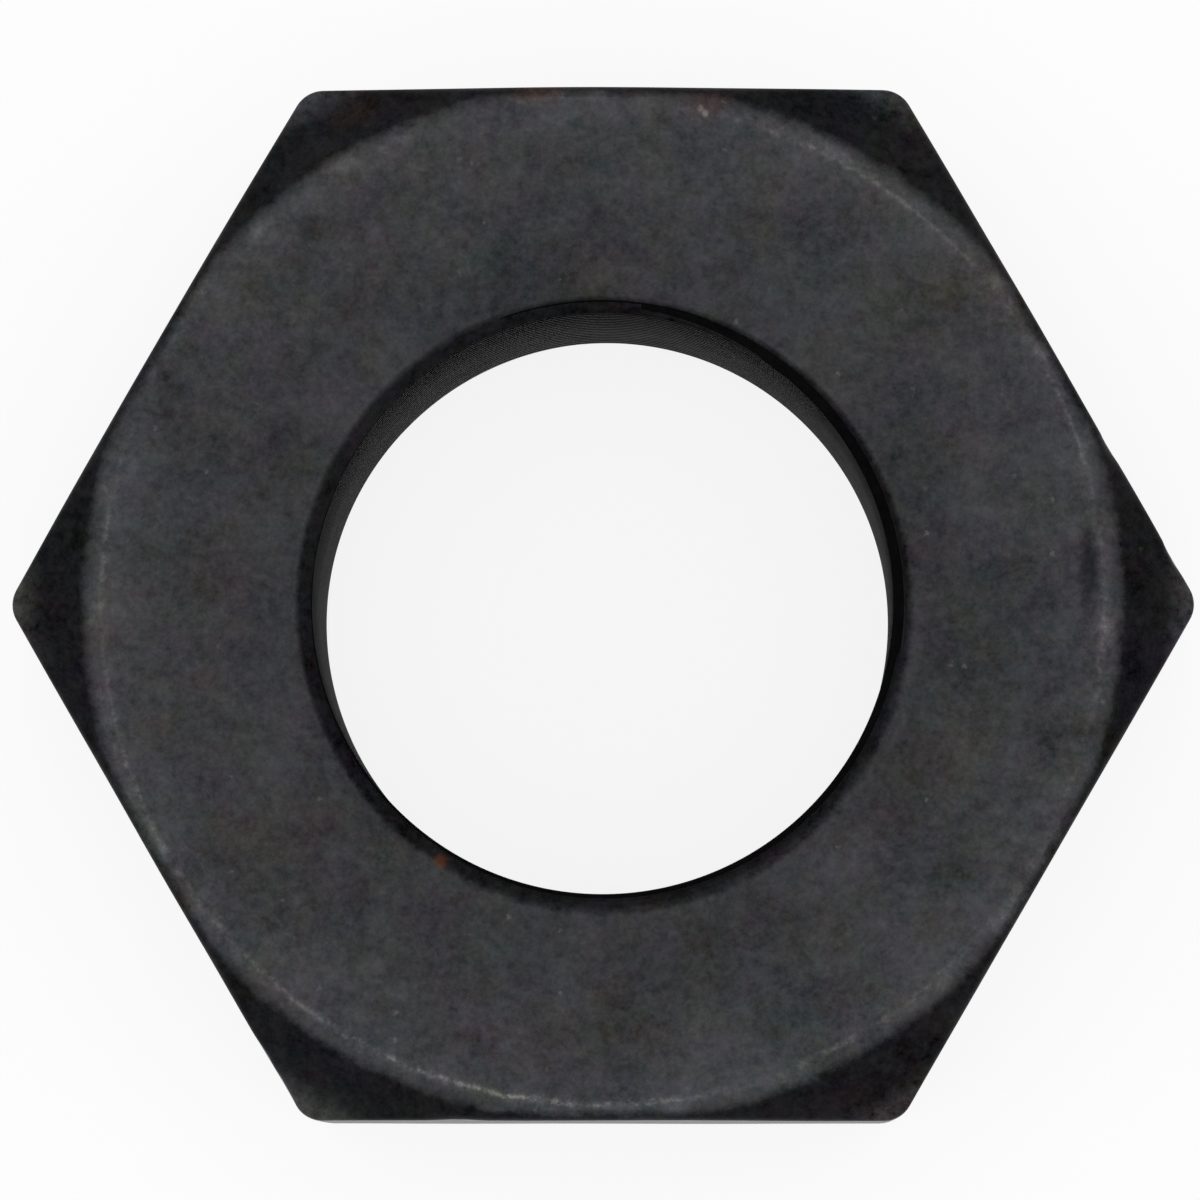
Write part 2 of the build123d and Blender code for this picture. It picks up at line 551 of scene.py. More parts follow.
def add(tree, kind, inputs, **settings):
    """Adds a node. Each input, by name or number, takes a value or another node's output."""
    made = tree.nodes.new(kind)
    for name, value in settings.items():
        setattr(made, name, value)
    for socket, value in inputs.items():
        if isinstance(value, bpy.types.NodeSocket):
            tree.links.new(value, made.inputs[socket])
        else:
            made.inputs[socket].default_value = value
    return made


def calc(tree, operation, *values):
    """The result of a Math node, such as calc(tree, "MULTIPLY", a, 2.0)."""
    return add(tree, "ShaderNodeMath", dict(enumerate(values)), operation=operation).outputs[0]


def ramp(tree, value, start, end, low=0.0, high=1.0):
    """A smooth step: low where the value is below start, high where it is above end."""
    inputs = {"Value": value, "From Min": start, "From Max": end, "To Min": low, "To Max": high}
    return add(tree, "ShaderNodeMapRange", inputs, interpolation_type="SMOOTHSTEP").outputs[0]


def mix(tree, factor, a, b):
    """Colour a where the factor is 0 and colour b where it is 1."""
    return add(tree, "ShaderNodeMix", {0: factor, 6: a, 7: b}, data_type="RGBA").outputs[2]


def vector_calc(tree, operation, *values):
    """The vector from a Vector Math node, such as vector_calc(tree, "ADD", a, b)."""
    return add(tree, "ShaderNodeVectorMath", dict(enumerate(values)), operation=operation).outputs[0]


def times(tree, a, b):
    """Two vectors or colours multiplied part by part."""
    return vector_calc(tree, "MULTIPLY", a, b)


def dimmed(tree, colour, factor):
    """A colour or vector multiplied by one number."""
    return add(tree, "ShaderNodeVectorMath", {0: colour, "Scale": factor}, operation="SCALE").outputs[0]


def parts_of(tree, vector):
    """The x, y and z of a vector."""
    return add(tree, "ShaderNodeSeparateXYZ", {0: vector}).outputs


def length_of(tree, vector):
    """The length of a vector."""
    return add(tree, "ShaderNodeVectorMath", {0: vector}, operation="LENGTH").outputs[1]


def distance_from_axis(tree, place):
    """The length of a place's vector without its z."""
    return length_of(tree, times(tree, place, (1, 1, 0)))


def noise(tree, place, size, detail=3.0, roughness=0.6, output=0):
    """Noise whose largest features are about this size: output 0 is a value around 0.5, 1 a colour."""
    return add(tree, "ShaderNodeTexNoise", {
        "Vector": place, "Scale": 1 / size, "Detail": detail, "Roughness": roughness}).outputs[output]


def hump(tree, value, centre, width):
    """The bell curve exp(-((value - centre) / width)^2)."""
    off = calc(tree, "DIVIDE", calc(tree, "SUBTRACT", value, centre), width)
    return calc(tree, "EXPONENT", calc(tree, "MULTIPLY", calc(tree, "MULTIPLY", off, off), -1.0))


# %% [markdown]
# An effect that more than one finish uses is a node group: a small tree with named inputs and outputs
# that is built once and then placed in each material with its own values.

# %% Making and using a node group


def new_group(name, inputs, outputs):
    """An empty node group with the given sockets, and its input and output nodes."""
    tree = bpy.data.node_groups.new(name, "ShaderNodeTree")
    for side, sockets in (("INPUT", inputs), ("OUTPUT", outputs)):
        for socket, kind in sockets.items():
            tree.interface.new_socket(name=socket, in_out=side, socket_type=f"NodeSocket{kind}")
    return tree, tree.nodes.new("NodeGroupInput").outputs, tree.nodes.new("NodeGroupOutput").inputs


def use(tree, group, inputs):
    """Places a group in a material with these inputs and returns its outputs."""
    return add(tree, "ShaderNodeGroup", inputs, node_tree=group).outputs


# %% [markdown]
# ## Effects that the finishes share
# Black oxide is a skin only about a micrometre thick that grows out of the steel in a hot salt bath.
# It takes its tone from the steel below, so it is never one even grey: it is slightly blue or brown
# in places, with a grain at every size from the whole face down to the single pit. A picture could
# hold that, but it would have seams and go soft close up. Fractal noise has neither fault, and when
# each of its octaves is almost as strong as the one before, it has the same grain at every size.

# %% Tone and tint of the oxide
BLOTCH, GRAIN, TINT = 4.5 * MM, 0.42 * MM, 3.5 * MM
GRAIN_SHARE, TINT_SHARE = 0.62, 0.33
TINT_BALANCE = (1.1, 0.7, 1.1)
DARKEST = (0.1, 0.1, 0.1)


def oxide_tone():
    """Colour to multiply a finish with, 1 on average: blotches, finer grain, and a tint of the three
    channels that is about a third as strong and weakest in green."""
    tree, given, result = new_group(
        "oxide_tone", {"Vector": "Vector", "Contrast": "Float"}, {"Color": "Color"})
    place, contrast = given["Vector"], given["Contrast"]
    blotches = noise(tree, place, BLOTCH, 8.0, 0.87)
    grain = noise(tree, place, GRAIN, 3.0, 0.8)
    tint = noise(tree, times(tree, place, (-1, 1, 1)), TINT, 6.0, 0.92, output=1)
    both = calc(tree, "MULTIPLY_ADD", grain, GRAIN_SHARE, blotches)
    around_zero = calc(tree, "SUBTRACT", both, (1 + GRAIN_SHARE) / 2)
    tone = calc(tree, "MULTIPLY_ADD", around_zero, contrast, 1.0)
    shift = times(tree, vector_calc(tree, "SUBTRACT", tint, (0.5, 0.5, 0.5)), TINT_BALANCE)
    shift = dimmed(tree, shift, calc(tree, "MULTIPLY", contrast, TINT_SHARE))
    total = vector_calc(tree, "MAXIMUM", vector_calc(tree, "ADD", shift, tone), DARKEST)
    tree.links.new(total, result["Color"])
    return tree


OXIDE_TONE = oxide_tone()
print("group:", OXIDE_TONE.name)

# %% [markdown]
# A lathe leaves fine rings round the axis. A Wave texture would draw them all alike, and rings that
# are all alike look printed. So a ring is noise that changes quickly with the distance along the
# profile and slowly with the direction from the axis. The direction goes in as its cosine and sine,
# so the rings have no seam.

# %% Marks of the lathe
RING_SPACING = 0.16 * MM
CHANGE_ROUND_A_RING = 1.6


def turning_rings():
    """A height between 0 and 1 made of noise in (distance along the profile, direction)."""
    tree, given, result = new_group("turning_rings", {"Vector": "Vector"}, {"Height": "Float"})
    level = times(tree, given["Vector"], (1, 1, 0))
    along = calc(tree, "ADD", length_of(tree, level), parts_of(tree, given["Vector"])[2])
    direction = parts_of(tree, vector_calc(tree, "NORMALIZE", level))
    place = add(tree, "ShaderNodeCombineXYZ", {
        0: calc(tree, "MULTIPLY", along, 1 / RING_SPACING),
        1: calc(tree, "MULTIPLY", direction[0], CHANGE_ROUND_A_RING),
        2: calc(tree, "MULTIPLY", direction[1], CHANGE_ROUND_A_RING)}).outputs[0]
    tree.links.new(noise(tree, place, 1.0, 2.0, 0.6), result["Height"])
    return tree


TURNING_RINGS = turning_rings()
print("group:", TURNING_RINGS.name, "every", RING_SPACING / MM, "mm")

# %% [markdown]
# Wear follows the edges, but never evenly. A noise shifts the distance from the edge, so the worn
# band gets wider and narrower along an edge and stops altogether in places.

# %% Wear along the edges
WEAR_PATCH = 3 * MM
NARROWEST, WIDEST = 0.15, 1.6


def edge_wear():
    """1 on an edge and 0 away from it, with the band's width in mm changed by noise."""
    tree, given, result = new_group(
        "edge_wear", {"Vector": "Vector", "Distance": "Float", "Width": "Float"}, {"Mask": "Float"})
    coarse = noise(tree, given["Vector"], WEAR_PATCH, 5.0, 0.75)
    share = ramp(tree, coarse, 0.35, 0.75, NARROWEST, WIDEST)
    reach = calc(tree, "MULTIPLY", given["Width"], share)
    ratio = calc(tree, "DIVIDE", given["Distance"], reach)
    tree.links.new(ramp(tree, ratio, 0.0, 1.0, 1.0, 0.0), result["Mask"])
    return tree


EDGE_WEAR = edge_wear()
print("group:", EDGE_WEAR.name)

# %% [markdown]
# Here and there a grain of dust or a nick through the film shows as a light speck. Specks are the
# middles of random cells: each cell has its own random value, and only the few cells with a high
# value show theirs. A noise bends the cells first, so that no speck is round.

# %% Light specks
BENDS_PER_CELL, BEND = 3.0, 0.7
SPECK_FADE = (0.05, 0.30)


def specks():
    """1 in the middle of a few random cells and 0 elsewhere. Share is the part of cells left out, and
    the bend and the fade are in cell widths."""
    tree, given, result = new_group(
        "specks", {"Vector": "Vector", "Size": "Float", "Share": "Float"}, {"Mask": "Float"})
    scale = calc(tree, "DIVIDE", 1.0, given["Size"])
    bend = add(tree, "ShaderNodeTexNoise", {
        "Vector": given["Vector"], "Scale": calc(tree, "MULTIPLY", scale, BENDS_PER_CELL), "Detail": 2.0})
    reach = calc(tree, "MULTIPLY", given["Size"], BEND)
    place = vector_calc(tree, "ADD", given["Vector"], dimmed(tree, bend.outputs[1], reach))
    cells = add(tree, "ShaderNodeTexVoronoi", {"Vector": place, "Scale": scale})
    chance = add(tree, "ShaderNodeSeparateColor", {0: cells.outputs["Color"]}).outputs[0]
    chosen = ramp(tree, chance, given["Share"], 1.0, 0.0, 1.0)
    middle = ramp(tree, cells.outputs["Distance"], *SPECK_FADE, 1.0, 0.0)
    tree.links.new(calc(tree, "MULTIPLY", chosen, middle), result["Mask"])
    return tree


SPECKS = specks()
print("group:", SPECKS.name)

# %% [markdown]
# ## The finishes
# All three finishes are the same blackened steel. What differs is how the steel below was made: the
# ends were turned, the flats were drawn through a die, and the thread was cut. Each starts with the
# same two nodes: the place on the nut and the distance from the nearest edge.

# %% Starting and finishing a material


def start_material(name):
    """A material with only a shader and its output, the place on the nut and the edge distance."""
    material = bpy.data.materials.new(name)
    material.use_nodes = True
    tree = material.node_tree
    tree.nodes.clear()
    shader = tree.nodes.new("ShaderNodeBsdfPrincipled")
    output = tree.nodes.new("ShaderNodeOutputMaterial")
    tree.links.new(shader.outputs[0], output.inputs[0])
    place = tree.nodes.new("ShaderNodeTexCoord").outputs["Object"]
    distance = add(tree, "ShaderNodeAttribute", {}, attribute_name="edge_distance").outputs["Fac"]
    return material, tree, shader, place, distance


def connect(tree, shader, colour, roughness, relief, depth):
    """Wires a finish: steel with this colour and roughness, and a relief of this depth in metres."""
    bump = add(tree, "ShaderNodeBump", {"Height": relief, "Distance": depth, "Strength": 1.0})
    tree.links.new(colour, shader.inputs["Base Color"])
    tree.links.new(roughness, shader.inputs["Roughness"])
    tree.links.new(bump.outputs[0], shader.inputs["Normal"])
    shader.inputs["Metallic"].default_value = 1.0


# %% [markdown]
# ### Turned ends
# The bearing face has rubbed against tables, washers and other nuts, so its film is polished to a
# dark grey. The cones and the countersinks lie lower and have kept the deep black, and their colour
# is darker still as painted shade, for how they lean away from the light.
# The border between the two is ragged, because it depends on how deep the scale and the pits are. So
# the mask is made from the depth below the face and the distance from the axis, both shifted by noise.

# %% The rubbed part of an end, and the painted shade below it
# The second colour, on the cones and countersinks, is partly their untouched film and partly painted
# shade.
RUBBED = (0.0542, 0.0544, 0.0578)
UNTOUCHED_AND_SHADED = (0.0164, 0.0161, 0.0179)
RUBBED_CENTRE = (0.10 * MM, -0.16 * MM, 0)
RAG_SIZE, RAG_REACH = 1.0 * MM, 0.17 * MM
FADE_DOWN = (0.04 * MM, 0.27 * MM)  # depths below the face
FADE_INTO_MOUTH = (mouth_radius - 0.12 * MM, mouth_radius + 0.20 * MM)
NEAR_EDGE_MM, LEFT_AT_EDGE = (0.05, 0.55), 0.30
EDGE_ZONE = (face_radius - 3 * MM, face_radius - 2 * MM)


def rubbed_unshaded_face(tree, place, radius, distance):
    """1 on the bearing face and 0 below it and in its mouth, and weaker along the face's outer edge."""
    z = parts_of(tree, place)[2]
    depth = calc(tree, "MINIMUM", z, calc(tree, "SUBTRACT", height, z))
    ragged = noise(tree, place, RAG_SIZE, 5.0, 0.75)
    ragged = calc(tree, "MULTIPLY_ADD", ragged, -2 * RAG_REACH, RAG_REACH)
    outer = ramp(tree, calc(tree, "ADD", depth, ragged), *FADE_DOWN, 1.0, 0.0)
    off_centre = distance_from_axis(tree, vector_calc(tree, "SUBTRACT", place, RUBBED_CENTRE))
    inner = ramp(tree, calc(tree, "ADD", off_centre, ragged), *FADE_INTO_MOUTH)
    from_edge = ramp(tree, distance, *NEAR_EDGE_MM, LEFT_AT_EDGE, 1.0)
    well_inside = ramp(tree, radius, *EDGE_ZONE, 1.0, 0.0)
    return calc(tree, "MULTIPLY", calc(tree, "MULTIPLY", outer, inner),
                calc(tree, "MAXIMUM", from_edge, well_inside))


# %% [markdown]
# Along the face's outer edge runs a narrow lighter line. It is partly wear, where the whole weight of
# a tilted nut rests on the rim, and partly a painted highlight on the rolled rim. It is broken into
# dashes and strongest on one side, where the painted highlight faces the light. Its strength round the
# rim is a colour ramp, whose places are shares of a full turn.

# %% The line on the rim
LINE_RADIUS, LINE_WIDTH = face_radius - 0.07 * MM, 0.11 * MM
HALO_SHIFT, HALO_WIDTH, HALO_SHARE = 0.10 * MM, 3 * LINE_WIDTH, 0.16
WANDER_SIZE, WANDER_REACH = 0.9 * MM, 0.17 * MM
FLECK_SIZE, DASH_SIZE = 0.35 * MM, 1.4 * MM
# Painted highlight with wear: the line is strongest on the side the light comes from.
LINE_AND_HIGHLIGHT_STRENGTH = (
    # degrees round the rim, and how strong the line is there
    (0, 0.10), (12, 0.03), (24, 0.14), (31, 0.03), (52, 0.10), (66, 0.08), (90, 0.0), (160, 0.01),
    (172, 0.10), (184, 0.06), (205, 0.10), (216, 0.07), (238, 0.12), (250, 0.20), (262, 0.33),
    (272, 0.29), (279, 0.11), (286, 0.0), (305, 0.12), (318, 0.03), (345, 0.03), (354, 0.10),
)


def wear_and_highlight_round_rim(tree, place):
    """The strength at the place's angle, mixed evenly between the two nearest stops."""
    x, y, _ = parts_of(tree, place)
    turn = calc(tree, "FRACT", calc(tree, "DIVIDE", calc(tree, "ARCTAN2", y, x), 2 * pi))
    made = add(tree, "ShaderNodeValToRGB", {0: turn})
    stops = made.color_ramp.elements
    while len(stops) < len(LINE_AND_HIGHLIGHT_STRENGTH):
        stops.new(1.0)
    for stop, (degrees, strength) in zip(stops, LINE_AND_HIGHLIGHT_STRENGTH):
        stop.position = degrees / 360
        stop.color = (strength, strength, strength, 1)
    return made.outputs[0]


def rim_wear_and_highlight(tree, place, radius):
    """The broken line on the rim, partly wear and partly painted highlight: a bell across it with flecks
    and a soft halo, times the dashes along it, times its strength round the rim."""
    wander = noise(tree, place, WANDER_SIZE, 4.0, 0.8)
    wander = calc(tree, "MULTIPLY_ADD", wander, 2 * WANDER_REACH, -WANDER_REACH)
    across = calc(tree, "ADD", radius, wander)
    flecks = ramp(tree, noise(tree, place, FLECK_SIZE, 3.0, 0.8), 0.34, 0.70, 0.35, 1.6)
    line = calc(tree, "MULTIPLY", hump(tree, across, LINE_RADIUS, LINE_WIDTH), flecks)
    halo = hump(tree, across, LINE_RADIUS + HALO_SHIFT, HALO_WIDTH)
    line = calc(tree, "MULTIPLY_ADD", halo, HALO_SHARE, line)
    dashes = ramp(tree, noise(tree, place, DASH_SIZE, 4.0, 0.8), 0.38, 0.62, 0.35, 1.15)
    return calc(tree, "MULTIPLY", calc(tree, "MULTIPLY", line, dashes), wear_and_highlight_round_rim(tree, place))


# %% [markdown]
# Storage and handling leave their traces too: smears of soot and old oil, a bright nick, and a few
# spots where the film was damaged and the steel has begun to rust. Each is an ellipsoid with a ragged
# edge, centred on the face and given by its place and half sizes.

# %% Stains on the upper end
BARE = (0.45, 0.44, 0.42, 1)
SOOT = (0.010, 0.010, 0.011, 1)
RUST = (0.110, 0.040, 0.022, 1)
STAIN_DEPTH = 1.5 * MM
STAIN_RAGS, STAIN_FADE = 0.7 * MM, (0.4, 1.3)
STAINS = (
    # x, y, half width and half height in mm, colour, strength
    (19.25, 1.2, 0.42, 1.9, SOOT, 0.66),
    (-11.6, 15.0, 0.9, 0.6, SOOT, 0.35),
    (-17.2, 8.5, 0.5, 1.4, SOOT, 0.25),
    (4.2, 19.8, 1.1, 0.6, RUST, 0.20),
    (-2.6, 20.3, 1.1, 0.5, RUST, 0.26),
    (-10.2, 19.8, 1.5, 0.9, RUST, 0.15),
    (-6.4, -10.2, 0.33, 0.33, RUST, 0.75),
    (-16.9, -11.6, 1.2, 0.9, RUST, 0.10),
    (3.90, 19.62, 0.14, 0.16, BARE, 0.22),
    (4.08, 19.42, 0.14, 0.18, BARE, 0.26),
)


def stained(tree, place, colour):
    """The colour with each stain laid over it. A stain's reach is the distance from its middle in
    half sizes, shifted by noise: it is full where that is small and fades out beyond 1."""
    ragged = noise(tree, place, STAIN_RAGS, 5.0, 0.75)
    ragged = calc(tree, "MULTIPLY_ADD", ragged, 2.0, -1.0)
    for x, y, half_width, half_height, stain, strength in STAINS:
        off = vector_calc(tree, "SUBTRACT", place, (x * MM, y * MM, height))
        off = times(tree, off, (1 / (half_width * MM), 1 / (half_height * MM), 1 / STAIN_DEPTH))
        reach = calc(tree, "ADD", length_of(tree, off), ragged)
        colour = mix(tree, ramp(tree, reach, *STAIN_FADE, strength, 0.0), colour, stain)
    return colour


# %% [markdown]
# The turned ends put all of that together. Outside the line are a few rubbed patches, and the tips of
# the six corners have been knocked bright. The rubbed ring is polished a little more towards its rim,
# and the dark colour below the face, film and painted shade together, is a little lighter in the
# countersinks than on the cones.

# %% The turned ends' material
WORN = (0.24, 0.237, 0.233, 1)
POLISH_AT_MOUTH, POLISH_AT_RIM = 0.90, 1.04
RIM_POLISH, RIM_ZONE = 0.11, (face_radius - 1.7 * MM, face_radius - 0.3 * MM)
MOUTH_GLEAM, MOUTH_ZONE = 1.6, (mouth_radius - 0.1 * MM, mouth_radius + 0.3 * MM)
PATCH_RADIUS, PATCH_WIDTH = face_radius + 0.22 * MM, 0.30 * MM
PATCH_SIZE, PATCH_STRENGTH = 2.4 * MM, 0.22
TIP_LENGTH, TIP_STRENGTH = 1.4 * MM, 0.22
CONTRAST_BELOW, CONTRAST_ON_FACE = 4.0, 2.3
NICKS_BELOW, NICKS_ON_FACE = 0.04, 0.16
END_ROUGHNESS, RING_ROUGHNESS, RING_DEPTH = 0.62, 0.06, 0.0012 * MM


def turned_end():
    """The rubbed grey over the untouched black, which is partly painted shade, with patches, the rim line
    and its painted highlight, tips, stains, grain and nicks.
    """
    material, tree, shader, place, distance = start_material("turned_end")
    radius = distance_from_axis(tree, place)
    face = rubbed_unshaded_face(tree, place, radius, distance)
    polish = calc(tree, "ADD",
                  ramp(tree, radius, mouth_radius, face_radius, POLISH_AT_MOUTH, POLISH_AT_RIM),
                  ramp(tree, radius, *RIM_ZONE, 0.0, RIM_POLISH))
    below = ramp(tree, radius, *MOUTH_ZONE, MOUTH_GLEAM, 1.0)
    patchy = ramp(tree, noise(tree, place, PATCH_SIZE, 5.0, 0.7), 0.46, 0.68, 0.0, PATCH_STRENGTH)
    patches = calc(tree, "MULTIPLY", hump(tree, radius, PATCH_RADIUS, PATCH_WIDTH), patchy)
    tips = ramp(tree, radius, tip_radius - TIP_LENGTH, tip_radius, 0.0, TIP_STRENGTH)
    contrast = ramp(tree, face, 0.0, 1.0, CONTRAST_BELOW, CONTRAST_ON_FACE)
    tone = use(tree, OXIDE_TONE, {"Vector": place, "Contrast": contrast})["Color"]
    nicks = use(tree, SPECKS, {"Vector": place, "Size": 0.5 * MM, "Share": 0.955})["Mask"]
    nicks = calc(tree, "MULTIPLY", nicks, ramp(tree, face, 0.0, 1.0, NICKS_BELOW, NICKS_ON_FACE))

    # Painted shade: below the face the darker colour stands partly for film and partly for shade.
    colour = mix(tree, face, dimmed(tree, UNTOUCHED_AND_SHADED, below), dimmed(tree, RUBBED, polish))
    colour = mix(tree, patches, colour, WORN)
    # Painted highlight: the rim line is partly wear and partly a highlight painted on the lit side.
    colour = mix(tree, rim_wear_and_highlight(tree, place, radius), colour, BARE)
    colour = mix(tree, tips, colour, WORN)
    colour = times(tree, stained(tree, place, colour), tone)
    colour = mix(tree, nicks, colour, BARE)
    rings = use(tree, TURNING_RINGS, {"Vector": place})["Height"]
    roughness = calc(tree, "MULTIPLY_ADD", rings, RING_ROUGHNESS, END_ROUGHNESS)
    connect(tree, shader, colour, roughness, rings, RING_DEPTH)
    return material


# %% [markdown]
# ### Drawn flats
# The hexagon bar was pulled through a die, which leaves faint streaks along its length, so along Z.
# The film on the flats is whole, apart from the upright corners, where a spanner turns. A streak is
# noise whose z is shrunk to a few hundredths, so that it changes across the flat but hardly along it.

# %% The drawn flats
FLAT_FILM = (0.048, 0.048, 0.049, 1)
FINE_STREAK, BROAD_STREAK, SCALE_MARK = 0.30 * MM, 2.2 * MM, 1.1 * MM
FINE_CHANGE, BROAD_CHANGE = (0.72, 1.28), (0.86, 1.14)
CORNER_WIDTH_MM, CORNER_WEAR = 0.45, 0.40
FLAT_CONTRAST, NICKS_ON_FLATS = 1.6, 0.16
FLAT_ROUGHNESS, MARK_ROUGHNESS = 0.25, 0.30
MARK_SHARE, STREAK_DEPTH = 0.6, 0.006 * MM


def drawn_flat():
    """Dark film with upright streaks, and worn corners."""
    material, tree, shader, place, distance = start_material("drawn_flat")
    tone = use(tree, OXIDE_TONE, {"Vector": place, "Contrast": FLAT_CONTRAST})["Color"]
    wear = use(tree, EDGE_WEAR, {
        "Vector": place, "Distance": distance, "Width": CORNER_WIDTH_MM})["Mask"]
    nicks = use(tree, SPECKS, {"Vector": place, "Size": 0.6 * MM, "Share": 0.96})["Mask"]
    streaks = noise(tree, times(tree, place, (1, 1, 0.03)), FINE_STREAK, 4.0, 0.7)
    broad = noise(tree, times(tree, place, (1, 1, 0.05)), BROAD_STREAK, 3.0, 0.7)
    scale_marks = noise(tree, times(tree, place, (1, 1, 0.4)), SCALE_MARK, 6.0, 0.8)
    colour = mix(tree, calc(tree, "MULTIPLY", wear, CORNER_WEAR), FLAT_FILM, WORN)
    colour = times(tree, colour, tone)
    lines = calc(tree, "MULTIPLY", ramp(tree, streaks, 0.25, 0.75, *FINE_CHANGE),
                 ramp(tree, broad, 0.3, 0.7, *BROAD_CHANGE))
    colour = dimmed(tree, colour, lines)
    colour = mix(tree, calc(tree, "MULTIPLY", nicks, NICKS_ON_FLATS), colour, BARE)
    roughness = calc(tree, "MULTIPLY_ADD", scale_marks, MARK_ROUGHNESS, FLAT_ROUGHNESS)
    both = calc(tree, "MULTIPLY_ADD", scale_marks, MARK_SHARE, streaks)
    connect(tree, shader, colour, roughness, both, STREAK_DEPTH)
    return material


# %% [markdown]
# ### Cut thread
# A tap cuts the thread with its many small teeth and tears the steel a little, so the film there is
# nearly as dark as on the cones and duller than anywhere else. Only the crests are touched by a bolt.
# The upper turns get a darker colour towards the mouth, as painted shade.

# %% The cut thread
THREAD_FILM = (0.0295, 0.0290, 0.0305, 1)
CREST_WIDTH_MM, CREST_WEAR = 0.08, 0.10
# Painted shade: the thread's colour is scaled from the first tone to the second over these heights.
PAINTED_SHADE_ZONE, LOWER_TURNS_TONE, SHADED_TURNS_TONE = (height - 12.0 * MM, height - 1.5 * MM), 1.1, 0.24
THREAD_CONTRAST = 2.0
THREAD_ROUGHNESS, TEAR_ROUGHNESS, TEAR_DEPTH = 0.68, 0.10, 0.003 * MM


def cut_thread():
    """Dull dark film, slightly worn along the crests, with painted shade darkening the upper turns."""
    material, tree, shader, place, distance = start_material("cut_thread")
    tone = use(tree, OXIDE_TONE, {"Vector": place, "Contrast": THREAD_CONTRAST})["Color"]
    rings = use(tree, TURNING_RINGS, {"Vector": place})["Height"]
    wear = use(tree, EDGE_WEAR, {"Vector": place, "Distance": distance, "Width": CREST_WIDTH_MM})["Mask"]
    # Painted shade: darker towards the upper mouth.
    painted_shade = ramp(tree, parts_of(tree, place)[2], *PAINTED_SHADE_ZONE, LOWER_TURNS_TONE, SHADED_TURNS_TONE)
    colour = mix(tree, calc(tree, "MULTIPLY", wear, CREST_WEAR), THREAD_FILM, WORN)
    colour = times(tree, colour, tone)
    colour = dimmed(tree, colour, painted_shade)
    roughness = calc(tree, "MULTIPLY_ADD", rings, TEAR_ROUGHNESS, THREAD_ROUGHNESS)
    connect(tree, shader, colour, roughness, rings, TEAR_DEPTH)
    return material


for material in (turned_end(), drawn_flat(), cut_thread()):
    nut_mesh.materials.append(material)
print("materials:", [m.name for m in nut_mesh.materials])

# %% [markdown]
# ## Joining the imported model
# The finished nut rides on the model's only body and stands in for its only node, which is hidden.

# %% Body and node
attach(nut, "root")
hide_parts("hex_nut")
print("joined to the model:", nut.name)

# %% [markdown]
# ## Table and backdrop
# The nut lies on a wide round table that turns up gently at its rim, so that even a low view meets
# the table and not the grey wall beyond it. The table is white. Part of that white is its own light,
# and only for the camera and for reflections, so that it looks clean behind the nut, is mirrored in
# the flats as the bright ground it is, and still takes the nut's shadow.

# %% The table
TABLE_RADIUS, TABLE_RIM = 1.6, 2.6
TABLE_RISE = radians(9)
TABLE_COLUMNS, RISE_ROWS = 96, 12
TABLE_WHITE = (0.86, 0.86, 0.86, 1)
OWN_LIGHT, OWN_STRENGTH = 0.80, 1.06


def round_table():
    """Rings of points: flat out to the table's radius, then rising along a circle's arc."""
    around = np.linspace(0, 2 * pi, TABLE_COLUMNS, endpoint=False)
    slope = np.linspace(0, TABLE_RISE, RISE_ROWS + 1)[1:]
    bend = (TABLE_RIM - TABLE_RADIUS) / sin(TABLE_RISE)
    radius = np.concatenate([[0.25, 0.8, TABLE_RADIUS], TABLE_RADIUS + bend * np.sin(slope)])
    rise = np.concatenate([[0, 0, 0], bend * (1 - np.cos(slope))])
    rings = np.stack([np.outer(radius, np.cos(around)), np.outer(radius, np.sin(around)),
                      np.outer(rise, np.ones(TABLE_COLUMNS))], axis=2).reshape(-1, 3)
    number = np.arange(len(rings)).reshape(len(radius), TABLE_COLUMNS)
    quads = ring_quads(number, np.roll(number, -1, axis=1)).tolist()
    mesh = bpy.data.meshes.new("table")
    mesh.from_pydata(rings.tolist(), [], quads + [number[0].tolist()])
    mesh.polygons.foreach_set("use_smooth", np.ones(len(mesh.polygons), bool))
    table = bpy.data.objects.new("table", mesh)
    bpy.context.scene.collection.objects.link(table)
    return table


def table_white():
    """White paint mixed with light of its own, which only camera rays and reflections meet."""
    material = bpy.data.materials.new("table_white")
    material.use_nodes = True
    tree = material.node_tree
    tree.nodes.clear()
    paint = add(tree, "ShaderNodeBsdfDiffuse", {"Color": TABLE_WHITE}).outputs[0]
    light = add(tree, "ShaderNodeEmission", {
        "Color": (1, 1, 1, 1), "Strength": OWN_STRENGTH}).outputs[0]
    ray = tree.nodes.new("ShaderNodeLightPath").outputs
    seen = calc(tree, "MAXIMUM", ray["Is Camera Ray"], ray["Is Glossy Ray"])
    seen = calc(tree, "MAXIMUM", seen, ray["Is Transmission Ray"])
    share = calc(tree, "MULTIPLY", seen, OWN_LIGHT)
    both = add(tree, "ShaderNodeMixShader", {0: share, 1: paint, 2: light}).outputs[0]
    add(tree, "ShaderNodeOutputMaterial", {0: both})
    return material


table = round_table()
table.data.materials.append(table_white())
print("table:", len(table.data.polygons), "faces, out to", TABLE_RIM, "m")
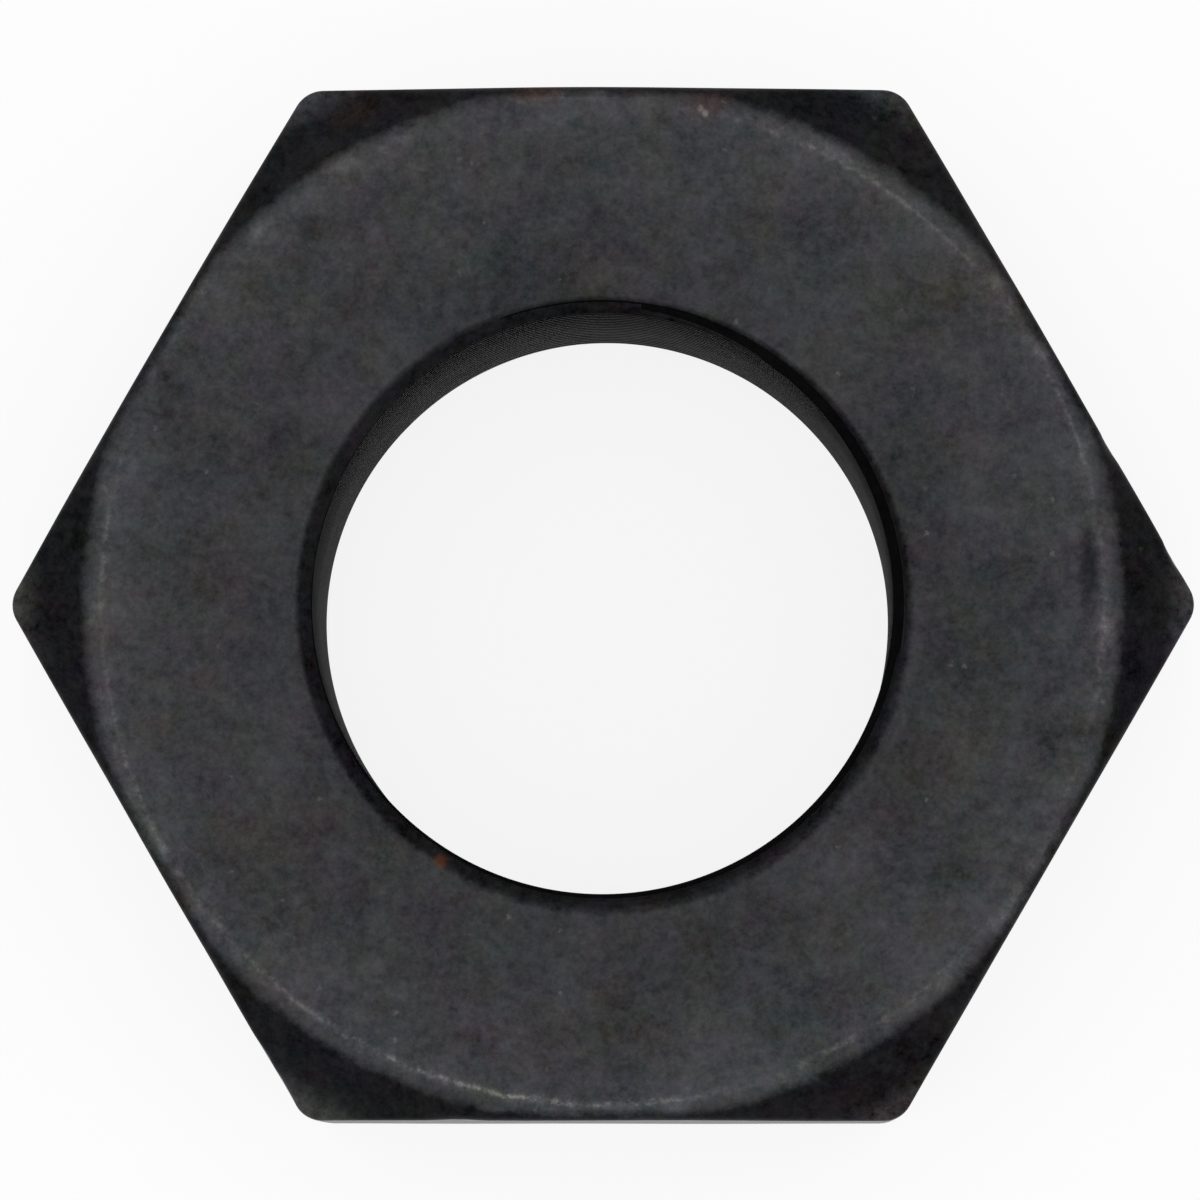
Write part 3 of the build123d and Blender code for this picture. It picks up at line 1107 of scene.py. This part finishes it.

# %% [markdown]
# ## Light
# One large round soft box hangs straight above, in a room with pale grey walls. Level surfaces face
# the soft box. The cones and countersinks lean away from it and see the walls, the nut itself or the
# shaded bore instead, which adds real shade to the painted shade in their dark colour and sets them
# off from the grey rings beside them.

# %% Soft box and room
SOFT_BOX_HEIGHT, SOFT_BOX_SIZE, SOFT_BOX_POWER = 1.2, 0.8, 3.7
ROOM = 0.62

lamp_data = bpy.data.lights.new("soft_box", "AREA")
lamp_data.shape = "DISK"
lamp_data.size = SOFT_BOX_SIZE
lamp_data.energy = SOFT_BOX_POWER
lamp = bpy.data.objects.new("soft_box", lamp_data)
lamp.location = (0, 0, SOFT_BOX_HEIGHT)
bpy.context.scene.collection.objects.link(lamp)

world = bpy.data.worlds.new("room")
world.use_nodes = True
world.node_tree.nodes["Background"].inputs["Color"].default_value = (1, 1, 1, 1)
world.node_tree.nodes["Background"].inputs["Strength"].default_value = ROOM
bpy.context.scene.world = world
print("soft box", SOFT_BOX_SIZE, "m wide at", SOFT_BOX_HEIGHT, "m, room at", ROOM)

# %% [markdown]
# ## Camera
# A long lens looks almost straight down, so that the hexagon shows with hardly any perspective and
# just a sliver of the thread is seen on the far side of the bore. A short lens would look into the
# bore on all sides, and an orthographic camera would need more tilt to see into it at all.

# %% Camera
SENSOR = 36.0
LENS = 394.0
CAMERA_DISTANCE = 520 * MM
CAMERA_TILT = radians(2.64)
CAMERA_LEAN = radians(0.60)
AIM = Vector((-0.09 * MM, 0.10 * MM, height))

camera_data = bpy.data.cameras.new("camera")
camera_data.sensor_width = SENSOR
camera_data.lens = LENS
camera = bpy.data.objects.new("camera", camera_data)
towards_camera = Vector((
    cos(CAMERA_TILT) * sin(CAMERA_LEAN), -sin(CAMERA_TILT), cos(CAMERA_TILT) * cos(CAMERA_LEAN)))
camera.location = AIM + CAMERA_DISTANCE * towards_camera
camera.rotation_euler = (CAMERA_TILT, CAMERA_LEAN, 0)
bpy.context.scene.collection.objects.link(camera)
bpy.context.scene.camera = camera
bpy.context.scene.view_settings.view_transform = "Standard"
print("camera at mm:", [round(v / MM, 1) for v in camera.location])
